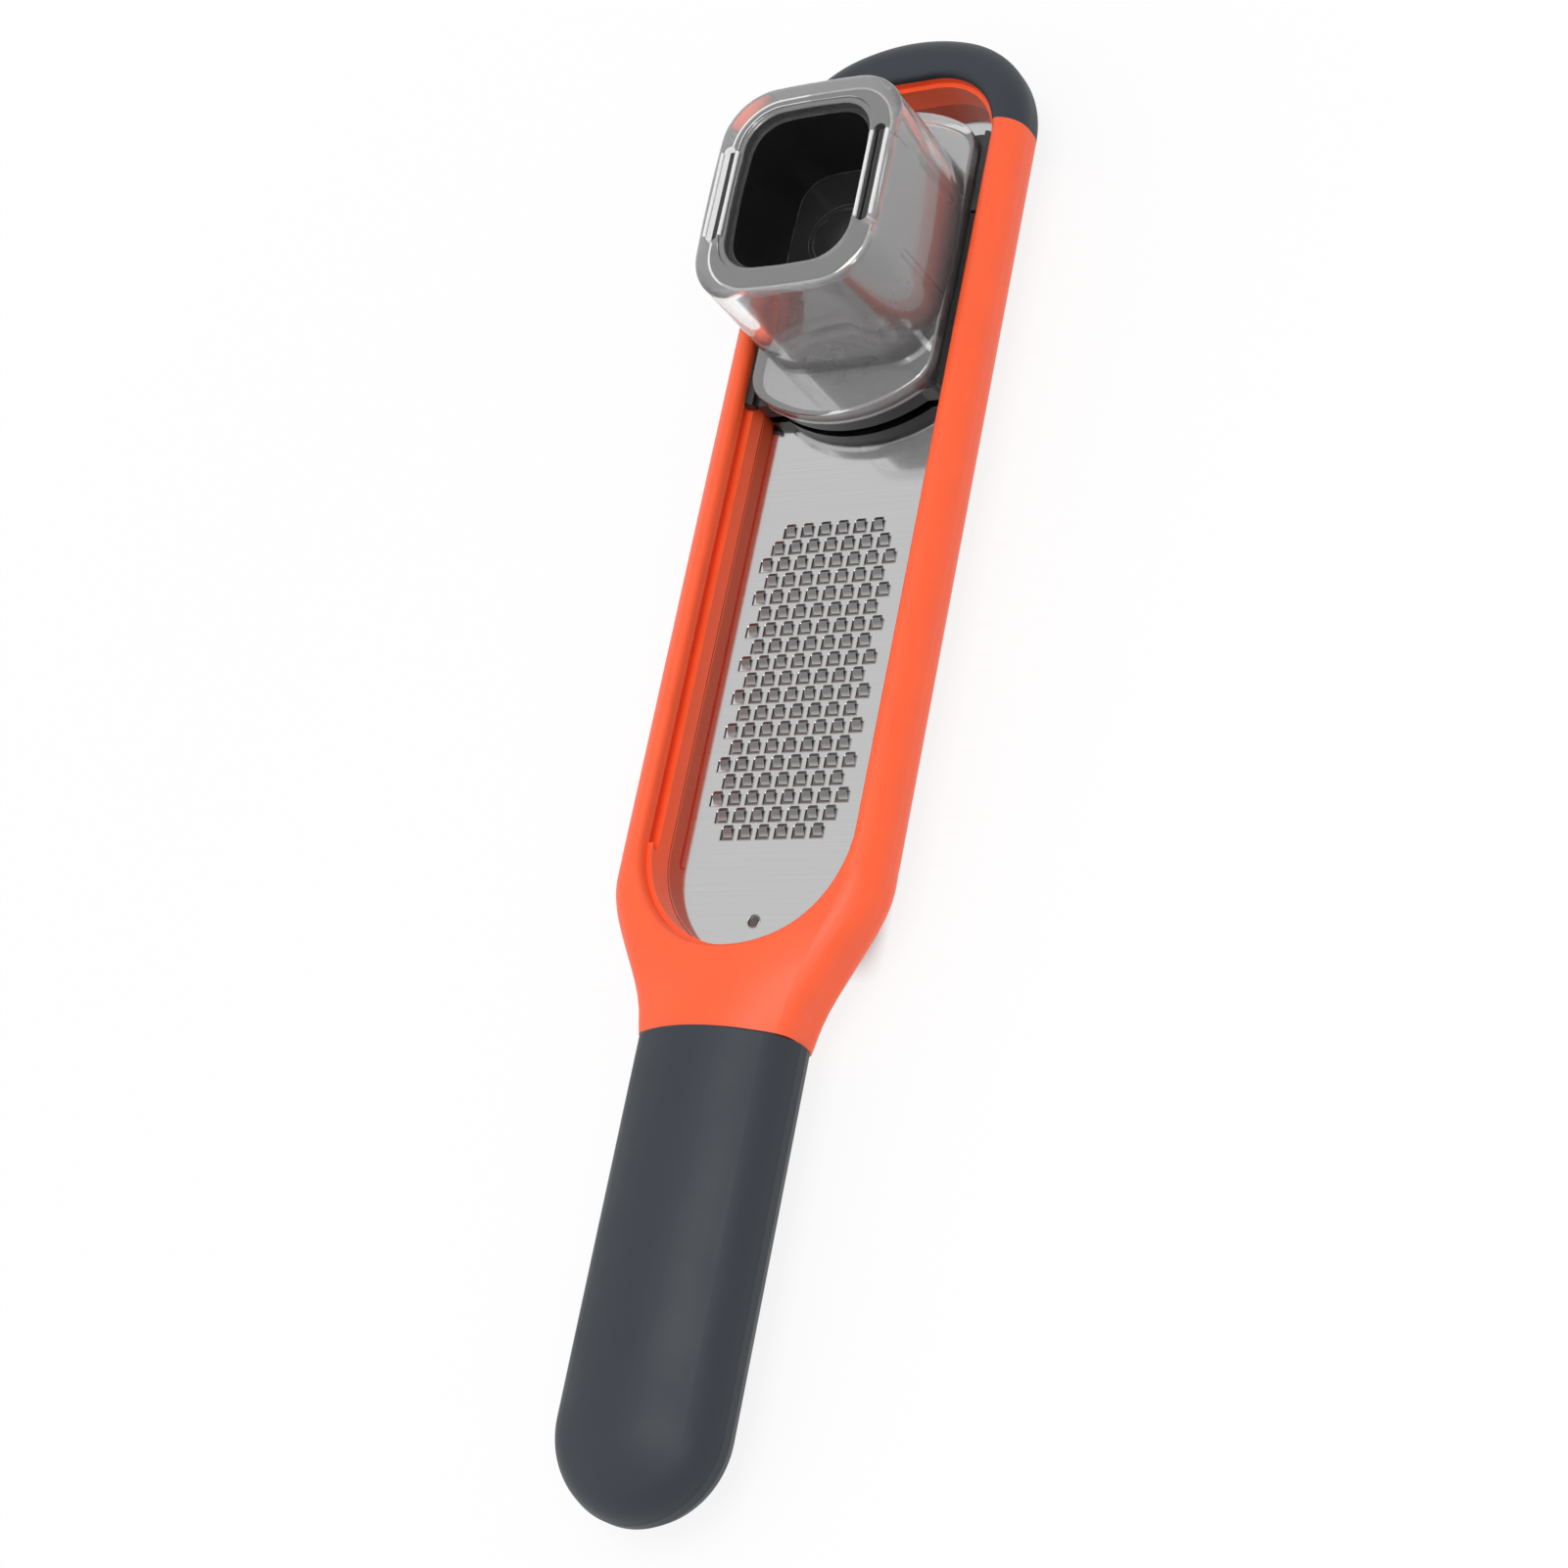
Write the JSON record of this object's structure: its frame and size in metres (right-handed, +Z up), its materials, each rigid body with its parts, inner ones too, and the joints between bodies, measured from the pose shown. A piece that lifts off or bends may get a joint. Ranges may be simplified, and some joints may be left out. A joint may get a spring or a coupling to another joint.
{
  "type": "rasp zester",
  "caption": "Hand rasp with a flat toothed steel plate between two rails, a soft grip and tip cap, and a food holder that slides on the rails and has a pusher.",
  "frame": {"origin": "on the table, under the middle of the whole tool, half way between its two ends", "axes": "+Y towards the tip, +Z up out of the toothed face, +X to the right when the tip points away"},
  "size_m": [0.0586, 0.3092, 0.0475],
  "materials": {
    "orange_plastic": "satin moulded plastic",
    "steel": "bright rolled stainless sheet",
    "soft_grip": "matt soft-touch moulding",
    "black_plastic": "fine satin moulding",
    "clear_plastic": "clear polished moulding"
  },
  "bodies": {
    "tool": {"frame": "orange_plastic", "blade": "steel", "handle_grip": "soft_grip", "tip_cap": "soft_grip"},
    "holder": {"carriage": "black_plastic"},
    "pusher": {"pusher_cap": "clear_plastic", "pusher_cup": "black_plastic"}
  },
  "joints": [
    {"name": "holder_slide", "type": "slide", "parent": "tool", "child": "holder", "axis": [0, -1, 0], "range_m": [0, 0.0945]},
    {"name": "pusher_slide", "type": "slide", "parent": "holder", "child": "pusher", "axis": [0, 0, 1], "range_m": [0, 0.026]}
  ]
}
